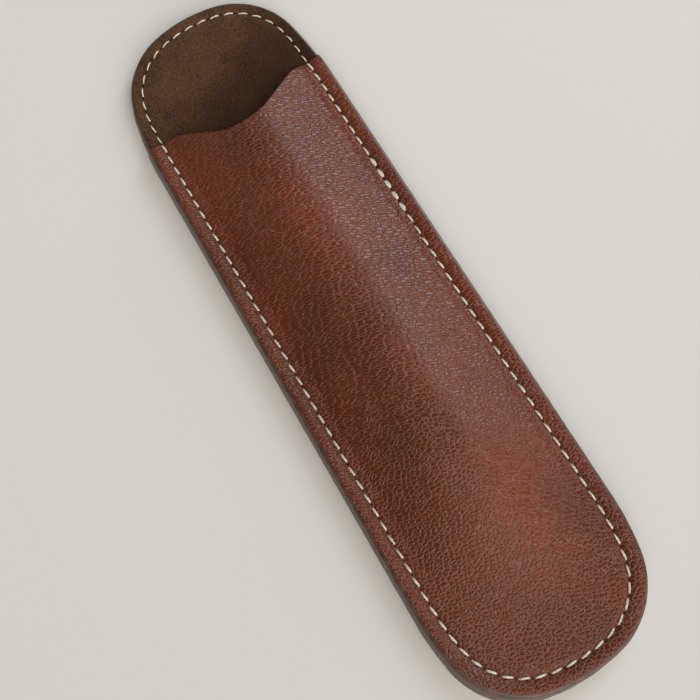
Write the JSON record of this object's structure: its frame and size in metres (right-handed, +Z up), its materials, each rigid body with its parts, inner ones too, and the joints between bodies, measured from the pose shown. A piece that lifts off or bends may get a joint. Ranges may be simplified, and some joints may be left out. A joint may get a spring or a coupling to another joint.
{
  "type": "fountain pen sleeve",
  "caption": "Soft leather slip sleeve for a pen: swelled front pocket with a thumb scoop, suede-faced back tongue, lockstitched and edge-coated all round.",
  "frame": {"origin": "middle of the sleeve's outline on the table it lies on, at the back face", "axes": "+X across the sleeve, +Y along it from the closed toe to the tip of the tongue, +Z up out of the swelled front"},
  "size_m": [0.044, 0.165, 0.0124],
  "materials": {
    "front_leather": "pebbled reddish brown, soft sheen",
    "back_leather": "pebbled reddish brown, soft sheen",
    "suede": "napped dark brown suede",
    "edge_coat": "satin dark brown edge paint",
    "thread": "cream waxed sewing thread"
  },
  "bodies": {
    "root": {"back_panel": "back_leather", "back_lining": "suede", "front_panel": "front_leather", "edge_coat": "edge_coat", "needle_thread": "thread", "bobbin_thread": "thread"}
  },
  "joints": []
}
